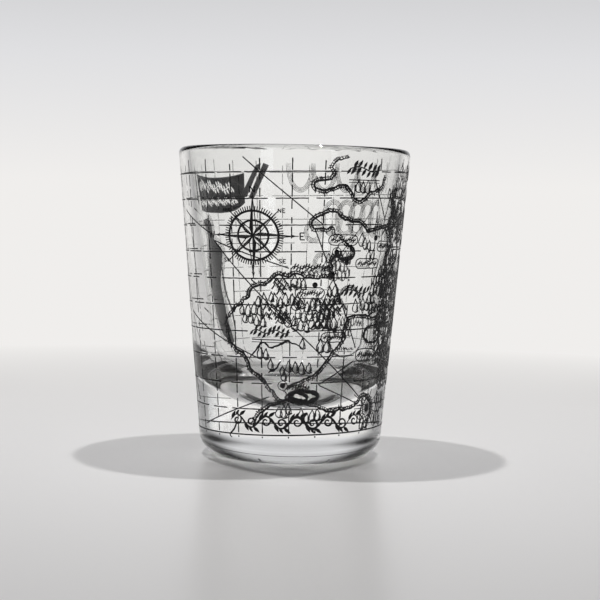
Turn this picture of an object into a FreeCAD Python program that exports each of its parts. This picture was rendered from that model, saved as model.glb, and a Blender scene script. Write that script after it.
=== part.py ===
"""Shot glass: one pressed glass body with an antique-style map fired onto the outside in black enamel.

Millimetres, +Z up. The origin is the centre of the base ring, in the plane that the glass stands on.
Longitude 0 faces -Y and grows towards +X. Each node is written to parts/NODE.step.
"""
import FreeCAD, Part
import math
import os

# Glass body: driving dimensions
HEIGHT = 63.5
OUTER_RADIUS_TOP = 24.0        # outer cone, carried up to the rim plane
OUTER_RADIUS_BOTTOM = 18.55    # outer cone, carried down to the base plane
WALL_AT_RIM = 2.1
WALL_AT_FLOOR = 4.4            # where the straight inner wall would meet the level of the floor
RIM_RADIUS_OUTER = 1.15
RIM_RADIUS_INNER = 0.85
HEEL_RADIUS = 5.0
FLOOR_HEIGHT = 10.5            # lowest point of the cup's floor
FLOOR_DISH_RADIUS = 18.0
FLOOR_CORNER_RADIUS = 15.0
PUNT_RADIUS = 12.0             # shallow recess under the base
PUNT_DEPTH = 0.9

# Enamel: driving dimensions
INK_SINK = 0.02                # how deep the enamel is fused into the glass
INK_RISE = 0.03                # how far it stands proud
LINE = 0.2                     # fine grid line
STROKE = 0.3                   # pen stroke
COAST = 0.4                    # coastline
RIBBON_EDGE = 0.8              # upper and lower edge of the ribbon
GARLAND_WIDTH = 1.0

# Map grid
MERIDIANS = 23
MERIDIAN_SHIFT = -0.9          # degrees
BORDER_HEIGHT = 6.6
GRID_PITCH = 5.17
PARALLELS = 10                 # above the border line
PRINT_TOP = 61.6
CROSSING_GAP = 0.35            # clear space around each grid crossing

# Compass rose
ROSE_LONGITUDE = -20.5
ROSE_HEIGHT = 45.7
ROSE_RING = 4.9
ROSE_INNER_RING = 3.05
ROSE_NEEDLE = 7.8
ROSE_TICK = 0.8
ROSE_STRETCH = 1.08            # the flat artwork fans out with the taper of the glass
LETTER_SIZE = 1.1

OUTER_SLOPE = (OUTER_RADIUS_TOP - OUTER_RADIUS_BOTTOM) / HEIGHT


def outer_radius(height):
    return OUTER_RADIUS_BOTTOM + OUTER_SLOPE * height


# ---------------------------------------------------------------- glass body

def arc_points(centre, radius, start_deg, end_deg):
    """Start, middle and end of an arc in the (radius, height) plane."""
    points = []
    for share in (0.0, 0.5, 1.0):
        angle = math.radians(start_deg + (end_deg - start_deg) * share)
        points.append((centre[0] + radius * math.cos(angle), centre[1] + radius * math.sin(angle)))
    return points


def section_vector(point):
    return FreeCAD.Vector(point[0], 0, point[1])


def line_edge(start, end):
    return Part.LineSegment(section_vector(start), section_vector(end)).toShape()


def arc_edge(points):
    start, middle, end = [section_vector(point) for point in points]
    return Part.Arc(start, middle, end).toShape()


def glass_body():
    tilt_out = math.degrees(math.atan(OUTER_SLOPE))
    stretch_out = math.hypot(1, OUTER_SLOPE)

    inner_top = OUTER_RADIUS_TOP - WALL_AT_RIM
    inner_low = outer_radius(FLOOR_HEIGHT) - WALL_AT_FLOOR
    inner_slope = (inner_top - inner_low) / (HEIGHT - FLOOR_HEIGHT)
    inner_base = inner_top - inner_slope * HEIGHT
    tilt_in = math.degrees(math.atan(inner_slope))
    stretch_in = math.hypot(1, inner_slope)

    heel_centre = (outer_radius(HEEL_RADIUS) - HEEL_RADIUS * stretch_out, HEEL_RADIUS)
    heel = arc_points(heel_centre, HEEL_RADIUS, -90, -tilt_out)

    lip_out_height = HEIGHT - RIM_RADIUS_OUTER
    lip_out_centre = (outer_radius(lip_out_height) - RIM_RADIUS_OUTER * stretch_out, lip_out_height)
    lip_out = arc_points(lip_out_centre, RIM_RADIUS_OUTER, -tilt_out, 90)

    lip_in_height = HEIGHT - RIM_RADIUS_INNER
    lip_in_radius = inner_base + inner_slope * lip_in_height + RIM_RADIUS_INNER * stretch_in
    lip_in = arc_points((lip_in_radius, lip_in_height), RIM_RADIUS_INNER, 90, 180 - tilt_in)

    # The corner arc touches the inner wall and the dished floor.
    corner_base = inner_base - FLOOR_CORNER_RADIUS * stretch_in
    dish_centre = FLOOR_HEIGHT + FLOOR_DISH_RADIUS
    reach = FLOOR_DISH_RADIUS - FLOOR_CORNER_RADIUS
    half_b = dish_centre - corner_base * inner_slope
    rest = corner_base ** 2 + dish_centre ** 2 - reach ** 2
    corner_height = (half_b - math.sqrt(half_b ** 2 - stretch_in ** 2 * rest)) / stretch_in ** 2
    corner_centre = (corner_base + inner_slope * corner_height, corner_height)
    dish_tilt = math.degrees(math.asin(corner_centre[0] / reach))
    corner = arc_points(corner_centre, FLOOR_CORNER_RADIUS, -tilt_in, dish_tilt - 90)
    floor = arc_points((0, dish_centre), FLOOR_DISH_RADIUS, dish_tilt - 90, -90)

    punt_sphere = (PUNT_RADIUS ** 2 + PUNT_DEPTH ** 2) / (2 * PUNT_DEPTH)
    punt_tilt = math.degrees(math.asin(PUNT_RADIUS / punt_sphere))
    punt = arc_points((0, PUNT_DEPTH - punt_sphere), punt_sphere, 90, 90 - punt_tilt)

    edges = [
        arc_edge(punt),
        line_edge(punt[2], heel[0]),
        arc_edge(heel),
        line_edge(heel[2], lip_out[0]),
        arc_edge(lip_out),
        line_edge(lip_out[2], lip_in[0]),
        arc_edge(lip_in),
        line_edge(lip_in[2], corner[0]),
        arc_edge(corner),
        arc_edge(floor),
        line_edge(floor[2], punt[0]),
    ]
    section = Part.Face(Part.Wire(edges))
    return section.revolve(FreeCAD.Vector(0, 0, 0), FreeCAD.Vector(0, 0, 1), 360)


# ---------------------------------------------------------------- enamel on the cone

def cone_point(longitude, height, lift):
    radius = outer_radius(height) + lift
    angle = math.radians(longitude)
    return FreeCAD.Vector(radius * math.sin(angle), -radius * math.cos(angle), height)


def degrees_at(height, millimetres):
    """The longitude that an arc length takes up at a height."""
    return math.degrees(millimetres / outer_radius(height))


def band(longitude_from, longitude_to, height_from, height_to):
    """Enamel between two longitudes and two heights, true to the cone."""
    corners = [
        cone_point(longitude_from, height_from, -INK_SINK),
        cone_point(longitude_from, height_from, INK_RISE),
        cone_point(longitude_from, height_to, INK_RISE),
        cone_point(longitude_from, height_to, -INK_SINK),
    ]
    face = Part.Face(Part.makePolygon(corners + corners[:1]))
    sweep = longitude_to - longitude_from
    return face.revolve(FreeCAD.Vector(0, 0, 0), FreeCAD.Vector(0, 0, 1), sweep)


def solid_from_triangles(points, triangles):
    shell = Part.Shape()
    shell.makeShapeFromMesh((points, triangles), 0.0001)
    solid = Part.Solid(Part.Shell(shell.Faces))
    if solid.Volume < 0:
        solid.reverse()
    return solid


def side_points(outline, half_width, closed):
    """Left and right edges of a stroke that follows an outline of (longitude, height) points."""
    left, right = [], []
    count = len(outline)
    for index, (longitude, height) in enumerate(outline):
        before = outline[index - 1] if index or closed else outline[index]
        after = outline[(index + 1) % count] if index + 1 < count or closed else outline[index]
        run = math.radians(after[0] - before[0]) * outer_radius(height)
        rise = after[1] - before[1]
        length = math.hypot(run, rise)
        across = degrees_at(height, -rise / length * half_width)
        up = run / length * half_width
        left.append((longitude + across, height + up))
        right.append((longitude - across, height - up))
    return left, right


def stroke(outline, width, closed=False):
    """A pen stroke of enamel along an outline."""
    left, right = side_points(outline, width / 2, closed)
    points = []
    for (left_lon, left_height), (right_lon, right_height) in zip(left, right):
        points.append(cone_point(left_lon, left_height, INK_RISE))
        points.append(cone_point(right_lon, right_height, INK_RISE))
        points.append(cone_point(right_lon, right_height, -INK_SINK))
        points.append(cone_point(left_lon, left_height, -INK_SINK))
    count = len(outline)
    triangles = []
    for index in range(count if closed else count - 1):
        here, there = 4 * index, 4 * ((index + 1) % count)
        for side in range(4):
            following = (side + 1) % 4
            triangles.append((here + side, there + side, there + following))
            triangles.append((here + side, there + following, here + following))
    if not closed:
        last = 4 * (count - 1)
        triangles += [(0, 1, 2), (0, 2, 3), (last, last + 2, last + 1), (last, last + 3, last + 2)]
    return solid_from_triangles(points, triangles)


def patch(outline):
    """A filled shape of enamel, star-shaped about its middle, counted counter-clockwise from outside."""
    count = len(outline)
    middle = (sum(point[0] for point in outline) / count, sum(point[1] for point in outline) / count)
    points = [cone_point(middle[0], middle[1], INK_RISE), cone_point(middle[0], middle[1], -INK_SINK)]
    for longitude, height in outline:
        points.append(cone_point(longitude, height, INK_RISE))
        points.append(cone_point(longitude, height, -INK_SINK))
    triangles = []
    for index in range(count):
        here, there = 2 + 2 * index, 2 + 2 * ((index + 1) % count)
        triangles.append((0, here, there))
        triangles.append((1, there + 1, here + 1))
        triangles.append((here, here + 1, there + 1))
        triangles.append((here, there + 1, there))
    return solid_from_triangles(points, triangles)


def sheet(first, second, rows):
    """A broad shape of enamel between two edges with as many points each, in rows that follow the cone."""
    columns = len(first)
    points = []
    for row in range(rows + 1):
        share = row / rows
        for start, end in zip(first, second):
            longitude = start[0] + (end[0] - start[0]) * share
            height = start[1] + (end[1] - start[1]) * share
            points.append(cone_point(longitude, height, INK_RISE))
            points.append(cone_point(longitude, height, -INK_SINK))
    triangles = []
    for row in range(rows):
        for column in range(columns - 1):
            a = 2 * (row * columns + column)
            b, c = a + 2, a + 2 * columns
            d = c + 2
            triangles += [(a, b, d), (a, d, c), (a + 1, d + 1, b + 1), (a + 1, c + 1, d + 1)]
    loop = list(range(columns))
    loop += [row * columns + columns - 1 for row in range(1, rows + 1)]
    loop += [rows * columns + column for column in range(columns - 2, -1, -1)]
    loop += [row * columns for row in range(rows - 1, 0, -1)]
    for here, there in zip(loop, loop[1:] + loop[:1]):
        triangles += [(2 * here, 2 * here + 1, 2 * there + 1), (2 * here, 2 * there + 1, 2 * there)]
    return solid_from_triangles(points, triangles)


def place(longitude, height, outline, stretch=1.0):
    """Turn (across, up) millimetres about a point into (longitude, height)."""
    placed = []
    for across, up in outline:
        placed.append((longitude + degrees_at(height, across * stretch), height + up))
    return placed


def circle(radius, sides):
    angles = [math.radians(360 * side / sides) for side in range(sides)]
    return [(radius * math.cos(angle), radius * math.sin(angle)) for angle in angles]


# ---------------------------------------------------------------- map features

PARALLEL_HEIGHTS = [BORDER_HEIGHT + GRID_PITCH * (row + 1) for row in range(PARALLELS)]
MERIDIAN_STEP = 360 / MERIDIANS
MERIDIAN_LONGITUDES = [MERIDIAN_SHIFT + MERIDIAN_STEP * column for column in range(MERIDIANS)]

# Coasts as (longitude, height), each in the direction that the pen went.
COASTS = {
    "main_island_north": [
        (-38, 29), (-31, 31.5), (-25.5, 33), (-22, 35), (-18.5, 36), (-13, 36.5), (-8, 38.2), (-3, 38),
        (2, 38.6), (8, 37.8), (17.5, 37.8), (20.5, 39), (19.5, 41.5), (23, 42.2), (27.5, 44), (32, 42.5),
    ],
    "main_island_east": [
        (67, 29.7), (48, 29.9), (41.5, 30.4), (31.5, 30), (29.5, 28.5), (28, 25.3), (22, 22.6), (17, 20.3),
        (13, 18.9), (7.3, 17.8), (-1, 16.5), (-4, 15.4),
    ],
    "main_island_west": [
        (-38, 28), (-35.5, 25), (-31, 23.4), (-26, 22.3), (-24, 20), (-19.5, 18.8), (-15.3, 17.6),
        (-12, 16), (-5.5, 13.8),
    ],
    "south_coast_west": [(-6.5, 13), (-12, 12.2), (-16.6, 11.2), (-20, 9.8), (-22.4, 8.2)],
    "south_coast_east": [
        (5.5, 13), (11.5, 12.5), (20, 11.7), (25, 11.3), (31, 11.5), (38, 11.8), (42.5, 12.6), (47, 14),
        (52.5, 12.8), (55, 11), (51, 7.4),
    ],
    "north_land": [
        (24, 61), (19, 60.3), (17.7, 59.4), (19, 58), (17.4, 56.9), (13.5, 56.6), (9.3, 55.9), (13.8, 55.1),
        (18.8, 54.8), (22.8, 55.5), (26, 55.8), (29.6, 54), (31.5, 53.2), (36, 53.2), (39, 54.4),
        (42.6, 55.3), (46.5, 55.5), (49, 57.4), (55, 58.6),
    ],
    "peninsula": [
        (25.4, 45.8), (21.5, 46.4), (17.1, 47.8), (10.5, 47.8), (9.5, 48.8), (13.8, 50.2), (19.8, 50.8),
        (25.4, 49.3), (33.6, 48.7), (38.6, 47.5), (40.5, 46.8), (44.6, 47.2), (56, 47.8), (64, 47.8),
    ],
    "east_coast": [
        (64, 49), (71, 52), (76, 50), (82, 53.5), (90, 55), (97, 52), (103, 46), (100, 41), (106, 36),
        (103, 30), (96, 26), (93, 21), (86, 17.5), (78, 16), (70, 18.5), (62, 15),
    ],
    "back_island": [
        (152, 28), (143, 32.5), (133, 33), (124, 30), (117, 25), (119, 18), (129, 14.5), (141, 15.5),
        (150, 20),
    ],
}
CLOSED_COASTS = ("back_island",)

RHUMB_LINES = [
    ((-25, 61), (15, 48)),
    ((-72, 50.6), (-45.5, 45.8)),
    ((-43.5, 44.6), (-2, 39.6)),
    ((-44, 44.6), (44.5, 13.6)),
    ((-73, 30.2), (-17, 21.6)),
    ((-62, 7.4), (-12.5, 14.2)),
    ((16, 16.6), (42.5, 12.5)),
    ((15.5, 16.7), (39.5, 21.8)),
    ((10.6, 47.3), (38.4, 23.4)),
    ((42.4, 57.2), (53, 49)),
    ((110, 56), (150, 40)),
    ((-70, 12), (-110, 42)),
]

RIVERS = [
    [(-13.5, 25), (-10, 25.6), (-6, 24.2), (-2, 25.2), (2, 24), (6, 24.2)],
    [(76, 44), (80, 41), (79, 37), (85, 34), (88, 29)],
]

TOWNS = [(23, 43.4), (28.5, 40.8), (11.8, 36.4), (23.7, 27.6), (-4.8, 16.5), (70, 42), (84, 24)]

TREES = [
    (-28, 29), (-25, 31), (-21, 32.5), (-17.5, 31), (-14, 33.5), (-11.5, 35), (-22, 28), (-27, 25.5),
    (-20, 24.5), (-14, 21.5), (-8, 20.5), (-2, 20), (4, 20.5), (9, 22), (13, 25), (19, 31), (22, 33.5),
    (26, 32), (34, 56), (38, 56.5), (42, 57), (74, 24), (90, 40), (95, 36), (136, 23), (142, 24.5),
]

MOUNTAINS = [
    (-4, 36), (0, 36.6), (4, 35.8), (-15, 27.6), (-10, 28), (-5, 27.4), (50, 26), (78, 48), (84, 49.5),
    (168, 36), (124, 25.5),
]

NAME_PLATES = [
    # longitude, height, length in millimetres
    (38.5, 58.6, 8.5), (25.7, 45, 5.5), (44, 40.8, 8), (8.6, 39.8, 6), (8.7, 34.6, 5), (36, 35, 7),
    (-12, 26.9, 7.5), (23, 26, 5.5), (49, 22.5, 8), (5, 16.4, 4.5), (86, 44, 7), (134, 17.7, 6),
]

TITLE_FROM, TITLE_TO, TITLE_HEIGHT, TITLE_WAVE = -36, 46, 9.2, 0.9


def parallels():
    solids = []
    for height in PARALLEL_HEIGHTS:
        gap = degrees_at(height, CROSSING_GAP)
        for longitude in MERIDIAN_LONGITUDES:
            start, end = longitude + gap, longitude + MERIDIAN_STEP - gap
            solids.append(band(start, end, height - LINE / 2, height + LINE / 2))
    return solids


def meridians():
    solids = []
    levels = [BORDER_HEIGHT] + PARALLEL_HEIGHTS + [PRINT_TOP + CROSSING_GAP]
    for longitude in MERIDIAN_LONGITUDES:
        for low, high in zip(levels, levels[1:]):
            if high - low > 3 * CROSSING_GAP:
                half = degrees_at((low + high) / 2, LINE / 2)
                bottom, top = low + CROSSING_GAP, high - CROSSING_GAP
                solids.append(band(longitude - half, longitude + half, bottom, top))
    return solids


def border_line():
    return [band(0, 360, BORDER_HEIGHT - LINE, BORDER_HEIGHT + LINE)]


def compass_ring(radius, width):
    return stroke(place(ROSE_LONGITUDE, ROSE_HEIGHT, circle(radius, 48), ROSE_STRETCH), width, closed=True)


def compass_rings():
    return [compass_ring(ROSE_RING, STROKE), compass_ring(ROSE_INNER_RING, STROKE)]


def compass_ticks():
    solids = []
    for step in range(72):
        angle = math.radians(5 * step)
        ends = []
        for radius in (ROSE_RING + STROKE / 2, ROSE_RING + ROSE_TICK):
            ends.append((radius * math.cos(angle), radius * math.sin(angle)))
        solids.append(stroke(place(ROSE_LONGITUDE, ROSE_HEIGHT, ends, ROSE_STRETCH), LINE))
    return solids


def compass_needles():
    """Eight tapered points around the middle, the four main ones longer."""
    solids = []
    for step in range(8):
        reach = ROSE_NEEDLE if step % 2 == 0 else 0.78 * ROSE_NEEDLE
        angle = math.radians(45 * step)
        side = math.radians(22.5)
        outline = [(0.25 * math.cos(angle + side), 0.25 * math.sin(angle + side))]
        outline.append((0.9 * math.cos(angle - side), 0.9 * math.sin(angle - side)))
        outline.append((reach * math.cos(angle), reach * math.sin(angle)))
        solids.append(patch(place(ROSE_LONGITUDE, ROSE_HEIGHT, outline, ROSE_STRETCH)))
    return solids


def compass_letters():
    """N, E, S and W at the ends of the rose, as pen strokes in a unit box."""
    shapes = {
        "N": (0, 1, [[(-0.4, -0.6), (-0.4, 0.6), (0.4, -0.6), (0.4, 0.6)]]),
        "E": (1, 0, [[(0.4, 0.6), (-0.4, 0.6), (-0.4, -0.6), (0.4, -0.6)], [(-0.25, 0), (0.3, 0)]]),
        "S": (0, -1, [[(0.35, 0.45), (0, 0.6), (-0.35, 0.4), (-0.3, 0.1), (0.3, -0.1), (0.35, -0.4),
                       (0, -0.6), (-0.35, -0.45)]]),
        "W": (-1, 0, [[(-0.55, 0.6), (-0.25, -0.6), (0, 0.3), (0.25, -0.6), (0.55, 0.6)]]),
    }
    reach = ROSE_NEEDLE + LETTER_SIZE
    solids = []
    for east, north, lines in shapes.values():
        for line in lines:
            outline = []
            for across, up in line:
                outline.append((reach * east + LETTER_SIZE * across, reach * north + LETTER_SIZE * up))
            solids.append(stroke(place(ROSE_LONGITUDE, ROSE_HEIGHT, outline, ROSE_STRETCH), LINE))
    return solids


def coastlines():
    return [stroke(outline, COAST, name in CLOSED_COASTS) for name, outline in COASTS.items()]


def straight_line(start, end, width):
    """A ruled line on the map, cut into short runs so that it follows the cone."""
    runs = max(1, round(abs(end[0] - start[0]) / 3))
    outline = []
    for run in range(runs + 1):
        share = run / runs
        outline.append((start[0] + (end[0] - start[0]) * share, start[1] + (end[1] - start[1]) * share))
    return stroke(outline, width)


def rhumb_lines():
    return [straight_line(start, end, LINE) for start, end in RHUMB_LINES]


def rivers():
    return [stroke(outline, STROKE) for outline in RIVERS]


def trees():
    outline = [(0.35, 0.2), (0.15, 0.8), (0, 1.6), (-0.15, 0.8), (-0.35, 0.2), (0, 0)]
    return [patch(place(longitude, height, outline)) for longitude, height in TREES]


def mountains():
    ridge = [(-0.9, 0), (-0.1, 1.1), (0.2, 0.8), (0.9, 0)]
    return [stroke(place(longitude, height, ridge), STROKE) for longitude, height in MOUNTAINS]


def town_marks():
    solids = []
    for longitude, height in TOWNS:
        solids.append(patch(place(longitude, height, circle(0.32, 10))))
        solids.append(stroke(place(longitude, height, circle(0.75, 14)), LINE, closed=True))
    return solids


def name_plates():
    """A plain rule under each place, where a name would stand."""
    solids = []
    for longitude, height, length in NAME_PLATES:
        half = degrees_at(height, length / 2)
        solids.append(straight_line((longitude - half, height), (longitude + half, height), STROKE))
    return solids


def title_ornament():
    """A rope-like wave above the border line."""
    steps = 82
    solids = []
    for phase in (0, math.pi):
        outline = []
        for step in range(steps + 1):
            longitude = TITLE_FROM + (TITLE_TO - TITLE_FROM) * step / steps
            height = TITLE_HEIGHT + TITLE_WAVE * math.sin(math.pi * step / 5 + phase)
            outline.append((longitude, height))
        solids.append(stroke(outline, STROKE))
    return solids


def atoll():
    return [stroke(place(7.5, 14.3, [(1.25 * x, y) for x, y in circle(1.3, 24)]), 0.6, closed=True)]


def ribbon_banner():
    """A blank ribbon on the back of the glass, with a fold at each end."""
    lower = [
        (-149.2, 51.6), (-144.5, 50.4), (-139, 49.8), (-131, 49.5), (-123.8, 49.5), (-113, 49.6), (-103, 50),
    ]
    upper = [
        (-99, 56.9), (-105, 56.6), (-111.3, 56.4), (-118, 56.2), (-126, 56.2), (-134, 56.4),
        (-141.5, 56.8), (-149.4, 57.5),
    ]
    return [
        stroke(lower, RIBBON_EDGE),
        stroke(upper, RIBBON_EDGE),
        sheet([(-157.3, 59.8), (-165.2, 59.8)], [(-146.4, 52.8), (-155.4, 52.3)], 4),
        sheet([(-93, 59), (-96.4, 58.2)], [(-94, 51.4), (-98, 50.6)], 2),
    ]


def ribbon_streamer():
    """The tail of the ribbon, which hangs down and narrows, with a cord beside it."""
    left = [
        (-101.8, 47.6), (-109, 43.8), (-107, 41.3), (-104, 38.2), (-103.5, 34), (-107, 30.7),
        (-112, 26.8), (-119, 23.1), (-131, 20.8),
    ]
    right = [
        (-112, 47.8), (-118.4, 43.7), (-126.4, 41.2), (-125.3, 38), (-122.3, 34.1), (-124.3, 30.5),
        (-127.5, 26.6), (-131.4, 23), (-132.8, 21),
    ]
    cord = [(-126.4, 34.6), (-127.6, 32.1), (-132.8, 28.2), (-135.4, 23)]
    return [sheet(left, right, 5), stroke(cord, STROKE)]


# Swags, a chain of hoops and single hoops on the back: longitude, height, half width, half tallness.
CHAIN_LENGTH = 5
SWAG_STEP = 14.5
HOOP_STEP = 9.0
OVAL_SIDES = 28
SWAGS = [(176.4 - SWAG_STEP * index, 60.4, 3.0, 6.0) for index in range(CHAIN_LENGTH)]
HOOPS = [(155.4 - HOOP_STEP * index, 48.4, 2.4, 3.5) for index in range(CHAIN_LENGTH)]
HOOPS += [(167.6, 45.3, 1.8, 1.9), (160, 38.6, 2.2, 1.9)]


def garlands():
    solids = []
    for longitude, height, across, up in HOOPS:
        outline = [(across * x, up * y) for x, y in circle(1.0, OVAL_SIDES)]
        solids.append(stroke(place(longitude, height, outline), GARLAND_WIDTH, closed=True))
    for longitude, height, across, up in SWAGS:
        lower_half = circle(1.0, OVAL_SIDES)[OVAL_SIDES // 2:] + [(1.0, 0.0)]
        outline = [(across * x, up * y) for x, y in lower_half]
        solids.append(stroke(place(longitude, height, outline), GARLAND_WIDTH))
    return solids


NODES = {
    "glass_body": lambda: [glass_body()],
    "print_parallels": parallels,
    "print_meridians": meridians,
    "print_border_line": border_line,
    "print_compass_rings": compass_rings,
    "print_compass_ticks": compass_ticks,
    "print_compass_needles": compass_needles,
    "print_compass_letters": compass_letters,
    "print_coastlines": coastlines,
    "print_rhumb_lines": rhumb_lines,
    "print_rivers": rivers,
    "print_trees": trees,
    "print_mountains": mountains,
    "print_town_marks": town_marks,
    "print_name_plates": name_plates,
    "print_title_ornament": title_ornament,
    "print_atoll": atoll,
    "print_ribbon_banner": ribbon_banner,
    "print_ribbon_streamer": ribbon_streamer,
    "print_garlands": garlands,
}


def main():
    os.makedirs("parts", exist_ok=True)
    for name, make in NODES.items():
        solids = make()
        shape = solids[0] if len(solids) == 1 else Part.makeCompound(solids)
        shape.exportStep(os.path.join("parts", name + ".step"))
        state = all(solid.isValid() for solid in solids)
        print(name, len(solids), "solids, volume", round(shape.Volume, 4), "valid", state)


main()
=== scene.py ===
import math
import random

import bpy
from mathutils import Matrix, Vector, geometry, noise


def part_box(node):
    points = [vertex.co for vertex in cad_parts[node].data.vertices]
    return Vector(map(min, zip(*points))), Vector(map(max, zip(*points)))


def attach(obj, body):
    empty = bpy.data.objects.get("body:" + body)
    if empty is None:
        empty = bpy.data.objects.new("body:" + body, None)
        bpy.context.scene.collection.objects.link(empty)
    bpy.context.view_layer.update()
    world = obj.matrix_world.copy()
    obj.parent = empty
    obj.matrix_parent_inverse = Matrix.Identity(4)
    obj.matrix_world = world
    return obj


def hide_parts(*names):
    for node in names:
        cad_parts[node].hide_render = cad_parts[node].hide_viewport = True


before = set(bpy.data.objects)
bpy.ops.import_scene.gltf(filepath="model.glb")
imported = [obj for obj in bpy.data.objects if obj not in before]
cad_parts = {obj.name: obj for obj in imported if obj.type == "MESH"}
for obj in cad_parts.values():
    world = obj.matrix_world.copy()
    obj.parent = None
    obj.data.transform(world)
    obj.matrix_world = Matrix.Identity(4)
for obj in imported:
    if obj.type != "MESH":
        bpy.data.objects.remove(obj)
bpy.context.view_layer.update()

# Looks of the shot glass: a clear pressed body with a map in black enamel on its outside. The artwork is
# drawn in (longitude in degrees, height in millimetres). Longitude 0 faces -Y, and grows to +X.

MM = 0.001

# ------ sizes in millimetres

HEIGHT = (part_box("glass_body")[1][2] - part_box("glass_body")[0][2]) / MM
OUTER_RADIUS_TOP = 24.0
OUTER_RADIUS_BOTTOM = 18.55
WALL_AT_RIM = 2.1
WALL_AT_FLOOR = 4.4
RIM_RADIUS_OUTER = 1.15
RIM_RADIUS_INNER = 0.85
HEEL_RADIUS = 5.0
FLOOR_HEIGHT = 10.5
FLOOR_DISH_RADIUS = 18.0
FLOOR_CORNER_RADIUS = 15.0
PUNT_RADIUS = 12.0
PUNT_DEPTH = 0.9
OUTER_SLOPE = (OUTER_RADIUS_TOP - OUTER_RADIUS_BOTTOM) / HEIGHT

GLASS_SEGMENTS = 288
WALL_STEP = 1.0  # height of a row of faces on the straight walls
WALL_RIPPLE = 0.012
WALL_WAVE = 9.0
FLOOR_RIPPLE = 0.07
FLOOR_WAVE = 5.5
FLOOR_WAVE_REACH = 9.0  # the floor's ripples die out this far above it
STILL_LIP = 4.0  # no ripples this close to the rim

INK_SINK = 0.02
INK_RISE = 0.028
FINE = 0.24  # width of grid and rhumb lines
FAINT = 0.13  # width of grid lines on the back
BACK_FROM = 95  # the back starts this many degrees from the front
COAST = 0.42
HEAVY_COAST = 0.6
FILL_GRID = 0.9  # spacing of points inside broad shapes, so that they follow the cone
SMALLEST_AREA = 1e-5  # shapes below this are dropped


# ------ glass body

def arc(centre, radius, start_deg, end_deg, steps):
    points = []
    for step in range(steps + 1):
        angle = math.radians(start_deg + (end_deg - start_deg) * step / steps)
        points.append((centre[0] + radius * math.cos(angle), centre[1] + radius * math.sin(angle)))
    return points


def run(start, end, spacing):
    """Points between two ends, without the ends."""
    steps = max(2, math.ceil(math.dist(start, end) / spacing))
    points = []
    for step in range(1, steps):
        share = step / steps
        points.append((start[0] + (end[0] - start[0]) * share, start[1] + (end[1] - start[1]) * share))
    return points


def outer_radius(height):
    return OUTER_RADIUS_BOTTOM + OUTER_SLOPE * height


def glass_profiles():
    """(radius, height) up the outside from the middle of the base, and down the inside to its floor."""
    tilt_out = math.degrees(math.atan(OUTER_SLOPE))
    stretch_out = math.hypot(1, OUTER_SLOPE)
    inner_top = OUTER_RADIUS_TOP - WALL_AT_RIM
    inner_low = outer_radius(FLOOR_HEIGHT) - WALL_AT_FLOOR
    inner_slope = (inner_top - inner_low) / (HEIGHT - FLOOR_HEIGHT)
    inner_base = inner_top - inner_slope * HEIGHT
    tilt_in = math.degrees(math.atan(inner_slope))
    stretch_in = math.hypot(1, inner_slope)

    punt_sphere = (PUNT_RADIUS ** 2 + PUNT_DEPTH ** 2) / (2 * PUNT_DEPTH)
    punt_tilt = math.degrees(math.asin(PUNT_RADIUS / punt_sphere))
    punt = arc((0, PUNT_DEPTH - punt_sphere), punt_sphere, 90, 90 - punt_tilt, 10)
    heel_centre = (outer_radius(HEEL_RADIUS) - HEEL_RADIUS * stretch_out, HEEL_RADIUS)
    heel = arc(heel_centre, HEEL_RADIUS, -90, -tilt_out, 28)
    lip_height = HEIGHT - RIM_RADIUS_OUTER
    lip_centre = (outer_radius(lip_height) - RIM_RADIUS_OUTER * stretch_out, lip_height)
    lip = arc(lip_centre, RIM_RADIUS_OUTER, -tilt_out, 90, 14)
    outside = punt + run(punt[-1], heel[0], WALL_STEP) + heel + run(heel[-1], lip[0], WALL_STEP) + lip

    inner_lip_height = HEIGHT - RIM_RADIUS_INNER
    inner_lip_radius = inner_base + inner_slope * inner_lip_height + RIM_RADIUS_INNER * stretch_in
    inner_lip = arc((inner_lip_radius, inner_lip_height), RIM_RADIUS_INNER, 90, 180 - tilt_in, 12)
    # The corner arc touches the inner wall and the dished floor.
    corner_base = inner_base - FLOOR_CORNER_RADIUS * stretch_in
    dish_centre = FLOOR_HEIGHT + FLOOR_DISH_RADIUS
    reach = FLOOR_DISH_RADIUS - FLOOR_CORNER_RADIUS
    half_b = dish_centre - corner_base * inner_slope
    rest = corner_base ** 2 + dish_centre ** 2 - reach ** 2
    corner_height = (half_b - math.sqrt(half_b ** 2 - stretch_in ** 2 * rest)) / stretch_in ** 2
    corner_centre = (corner_base + inner_slope * corner_height, corner_height)
    dish_tilt = math.degrees(math.asin(corner_centre[0] / reach))
    corner = arc(corner_centre, FLOOR_CORNER_RADIUS, -tilt_in, dish_tilt - 90, 24)
    floor = arc((0, dish_centre), FLOOR_DISH_RADIUS, dish_tilt - 90, -90, 14)
    inside = run(lip[-1], inner_lip[0], WALL_STEP) + inner_lip + run(inner_lip[-1], corner[0], WALL_STEP)
    return outside, inside + corner + floor[1:]


def ripple(radius, height, angle):
    """Slow waves of the pressed inside, strongest at the floor of the cup."""
    spot = Vector((radius * math.sin(angle), radius * math.cos(angle), height))
    wall_wave = WALL_RIPPLE * noise.noise(spot / WALL_WAVE)
    depth = max(0.0, 1 - (height - FLOOR_HEIGHT) / FLOOR_WAVE_REACH)
    return wall_wave + FLOOR_RIPPLE * depth * noise.noise(spot / FLOOR_WAVE + Vector((0, 0, 40)))


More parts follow.
